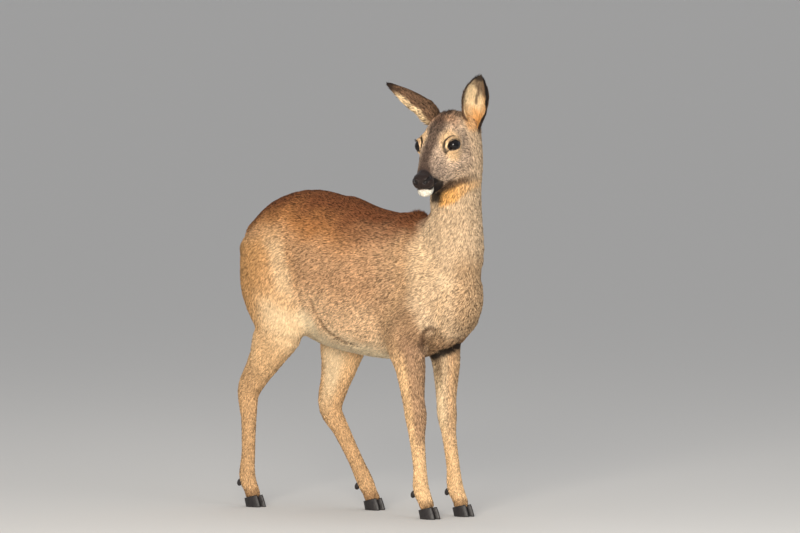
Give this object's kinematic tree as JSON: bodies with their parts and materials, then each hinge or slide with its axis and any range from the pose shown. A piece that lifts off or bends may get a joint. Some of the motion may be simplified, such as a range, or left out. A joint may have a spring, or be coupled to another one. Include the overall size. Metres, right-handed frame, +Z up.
{
  "type": "roe deer",
  "caption": "Life-size roe deer doe in winter coat, standing still, neck upright, head turned to its right and a hind leg set forward.",
  "frame": {"origin": "on the ground, below the middle of the deer's box", "axes": "+X the way the body faces, +Y to the deer's left, +Z up"},
  "size_m": [0.7578, 0.3232, 1.0115],
  "materials": {
    "coat": "short dense agouti hair, red-brown on the back and cream below",
    "leg_coat": "very short tan hair, brown down the front of the forelegs",
    "ear": "short speckled hair, a black rim and a cream inside",
    "rump_white": "longer white hair",
    "horn": "satin dark horn",
    "nose_leather": "moist grained black skin",
    "eye": "wet, near-black brown, with a wide dark pupil"
  },
  "bodies": {
    "root": {"trunk": "coat", "neck": "coat", "tail": "rump_white", "head": "coat", "eye_left": "eye", "eye_right": "eye", "ear_left": "ear", "ear_right": "ear", "foreleg_right": "leg_coat", "hoof_foreleg_right_inner": "horn", "dewclaw_foreleg_right_inner": "horn", "hoof_foreleg_right_outer": "horn", "dewclaw_foreleg_right_outer": "horn", "foreleg_left": "leg_coat", "hoof_foreleg_left_inner": "horn", "dewclaw_foreleg_left_inner": "horn", "hoof_foreleg_left_outer": "horn", "dewclaw_foreleg_left_outer": "horn", "hindleg_right": "leg_coat", "hoof_hindleg_right_inner": "horn", "dewclaw_hindleg_right_inner": "horn", "hoof_hindleg_right_outer": "horn", "dewclaw_hindleg_right_outer": "horn", "hindleg_left": "leg_coat", "hoof_hindleg_left_inner": "horn", "dewclaw_hindleg_left_inner": "horn", "hoof_hindleg_left_outer": "horn", "dewclaw_hindleg_left_outer": "horn"}
  },
  "joints": []
}
